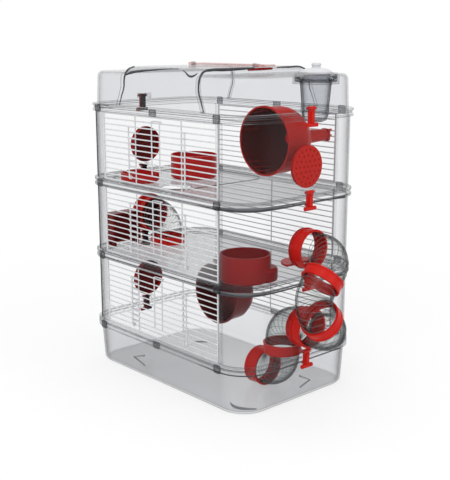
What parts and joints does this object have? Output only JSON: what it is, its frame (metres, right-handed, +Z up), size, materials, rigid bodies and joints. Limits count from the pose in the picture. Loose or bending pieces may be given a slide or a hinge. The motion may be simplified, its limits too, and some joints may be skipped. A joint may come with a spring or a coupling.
{
  "type": "hamster cage",
  "caption": "Clear plastic pet cage with stacked storeys, wire sides and doors, lift-off lid with handle and hopper, running wheel, tubes and bowls.",
  "frame": {"origin": "centre of the tub's flat underside, on the surface that the cage stands on", "axes": "+Z up; +X towards the end with the outside tube; -Y towards the front with the wire doors"},
  "size_m": [0.5009, 0.275, 0.522],
  "materials": {
    "clear_plastic": "clear polished polystyrene",
    "frame_plastic": "clear moulded plastic, grey through its thick edges",
    "fitting_plastic": "clear grey snap fittings",
    "clear_tube": "clear ribbed tube",
    "smoke_plastic": "smoke-tinted clear plastic",
    "red_plastic": "glossy moulded red plastic",
    "white_plastic": "frosted white plastic",
    "coated_wire": "white-coated steel wire"
  },
  "bodies": {
    "cage": {"tub": "clear_plastic", "bottom_frame": "frame_plastic", "lower_deck": "frame_plastic", "upper_deck": "frame_plastic", "top_frame": "frame_plastic", "corner_keys": "fitting_plastic", "grille_clips": "fitting_plastic", "wheel_axle": "red_plastic", "axle_cap": "red_plastic", "wheel_bracket": "red_plastic", "tube_mount_upper": "red_plastic", "tube_mount_lower": "red_plastic", "landing_step": "red_plastic", "tub_elbow_upper": "clear_tube", "tub_elbow_lower": "clear_tube", "tub_tube_collars": "red_plastic", "floor_elbow": "clear_tube", "floor_tube_mount": "red_plastic", "floor_tube_collar": "red_plastic", "end_panel_left_1": "clear_plastic", "end_panel_right_1": "clear_plastic", "front_grille_1": "coated_wire", "back_grille_1": "coated_wire", "end_panel_left_2": "clear_plastic", "end_panel_right_2": "clear_plastic", "front_grille_2": "coated_wire", "back_grille_2": "coated_wire", "end_panel_left_3": "clear_plastic", "end_panel_right_3": "clear_plastic", "front_grille_3": "coated_wire", "back_grille_3": "coated_wire"},
    "lid": {"lid": "clear_plastic"},
    "handle": {"carry_handle": "red_plastic"},
    "wheel": {"exercise_wheel": "red_plastic"},
    "hopper": {"feed_hopper": "smoke_plastic"},
    "hopper_lid": {"hopper_cap": "white_plastic"},
    "bath": {"bath_bowl": "red_plastic"},
    "dish": {"food_dish": "red_plastic"},
    "house": {"round_house": "red_plastic"},
    "den": {"hanging_den": "red_plastic"},
    "nest": {"nest_box": "red_plastic"},
    "outside_tube": {"outside_elbow_upper": "clear_tube", "outside_elbow_middle": "clear_tube", "outside_elbow_lower": "clear_tube", "outside_collars": "red_plastic"},
    "door_1": {"front_door_1": "coated_wire"},
    "left_plug_1": {"plug_left_1": "red_plastic"},
    "door_2": {"front_door_2": "coated_wire"},
    "left_plug_2": {"plug_left_2": "red_plastic"},
    "door_3": {"front_door_3": "coated_wire"},
    "left_plug_3": {"plug_left_3": "red_plastic"},
    "right_plug_3": {"plug_right_3": "red_plastic"},
    "left_clip_1": {"clip_left_1": "red_plastic"},
    "left_clip_2": {"clip_left_2": "red_plastic"},
    "left_clip_3": {"clip_left_3": "red_plastic"},
    "left_clip_4": {"clip_left_4": "red_plastic"},
    "right_clip_1": {"clip_right_1": "red_plastic"},
    "right_clip_2": {"clip_right_2": "red_plastic"},
    "right_clip_3": {"clip_right_3": "red_plastic"},
    "right_clip_4": {"clip_right_4": "red_plastic"}
  },
  "joints": [
    {"name": "lid_lift", "type": "slide", "parent": "cage", "child": "lid", "axis": [0, 0, 1], "range_m": [0, 0.12]},
    {"name": "handle_fold", "type": "hinge", "parent": "lid", "child": "handle", "pos_m": [0.0115, 0, 0.518], "axis": [1, 0, 0], "range_deg": [0, 180]},
    {"name": "hopper_lift", "type": "slide", "parent": "lid", "child": "hopper", "axis": [0, 0, 1], "range_m": [0, 0.09]},
    {"name": "hopper_lid_lift", "type": "slide", "parent": "hopper", "child": "hopper_lid", "axis": [0, 0, 1], "range_m": [0, 0.03]},
    {"name": "wheel_spin", "type": "hinge", "parent": "cage", "child": "wheel", "pos_m": [0.124, 0.08, 0.405], "axis": [0, 1, 0], "continuous": true},
    {"name": "bath_lift", "type": "slide", "parent": "cage", "child": "bath", "axis": [0, 0, 1], "range_m": [0, 0.06]},
    {"name": "dish_lift", "type": "slide", "parent": "cage", "child": "dish", "axis": [0, 0, 1], "range_m": [0, 0.06]},
    {"name": "house_lift", "type": "slide", "parent": "cage", "child": "house", "axis": [0, 0, 1], "range_m": [0, 0.05]},
    {"name": "den_slide", "type": "slide", "parent": "cage", "child": "den", "axis": [0, -1, 0], "range_m": [0, 0.06]},
    {"name": "nest_lift", "type": "slide", "parent": "cage", "child": "nest", "axis": [0, 0, 1], "range_m": [0, 0.04]},
    {"name": "outside_tube_pull", "type": "slide", "parent": "cage", "child": "outside_tube", "axis": [1, 0, 0], "range_m": [0, 0.05]},
    {"name": "door_1_open", "type": "hinge", "parent": "cage", "child": "door_1", "pos_m": [0, -0.1285, 0.08867], "axis": [1, 0, 0], "range_deg": [0, 100]},
    {"name": "left_plug_1_pull", "type": "slide", "parent": "cage", "child": "left_plug_1", "axis": [-1, 0, 0], "range_m": [0, 0.03]},
    {"name": "door_2_open", "type": "hinge", "parent": "cage", "child": "door_2", "pos_m": [0, -0.1285, 0.21367], "axis": [1, 0, 0], "range_deg": [0, 100]},
    {"name": "left_plug_2_pull", "type": "slide", "parent": "cage", "child": "left_plug_2", "axis": [-1, 0, 0], "range_m": [0, 0.03]},
    {"name": "door_3_open", "type": "hinge", "parent": "cage", "child": "door_3", "pos_m": [0, -0.1285, 0.33867], "axis": [1, 0, 0], "range_deg": [0, 100]},
    {"name": "left_plug_3_pull", "type": "slide", "parent": "cage", "child": "left_plug_3", "axis": [-1, 0, 0], "range_m": [0, 0.03]},
    {"name": "right_plug_3_pull", "type": "slide", "parent": "cage", "child": "right_plug_3", "axis": [1, 0, 0], "range_m": [0, 0.03]},
    {"name": "left_clip_1_swing", "type": "hinge", "parent": "cage", "child": "left_clip_1", "pos_m": [-0.2042, 0, 0.084], "axis": [0, 1, 0], "range_deg": [0, 90]},
    {"name": "left_clip_2_swing", "type": "hinge", "parent": "cage", "child": "left_clip_2", "pos_m": [-0.2042, 0, 0.209], "axis": [0, 1, 0], "range_deg": [0, 90]},
    {"name": "left_clip_3_swing", "type": "hinge", "parent": "cage", "child": "left_clip_3", "pos_m": [-0.2042, 0, 0.334], "axis": [0, 1, 0], "range_deg": [0, 90]},
    {"name": "left_clip_4_swing", "type": "hinge", "parent": "lid", "child": "left_clip_4", "pos_m": [-0.2042, 0, 0.459], "axis": [0, 1, 0], "range_deg": [0, 90]},
    {"name": "right_clip_1_swing", "type": "hinge", "parent": "cage", "child": "right_clip_1", "pos_m": [0.2042, 0, 0.084], "axis": [0, -1, 0], "range_deg": [0, 90]},
    {"name": "right_clip_2_swing", "type": "hinge", "parent": "cage", "child": "right_clip_2", "pos_m": [0.2042, 0, 0.209], "axis": [0, -1, 0], "range_deg": [0, 90]},
    {"name": "right_clip_3_swing", "type": "hinge", "parent": "cage", "child": "right_clip_3", "pos_m": [0.2042, 0, 0.334], "axis": [0, -1, 0], "range_deg": [0, 90]},
    {"name": "right_clip_4_swing", "type": "hinge", "parent": "lid", "child": "right_clip_4", "pos_m": [0.2042, 0, 0.459], "axis": [0, -1, 0], "range_deg": [0, 90]}
  ]
}
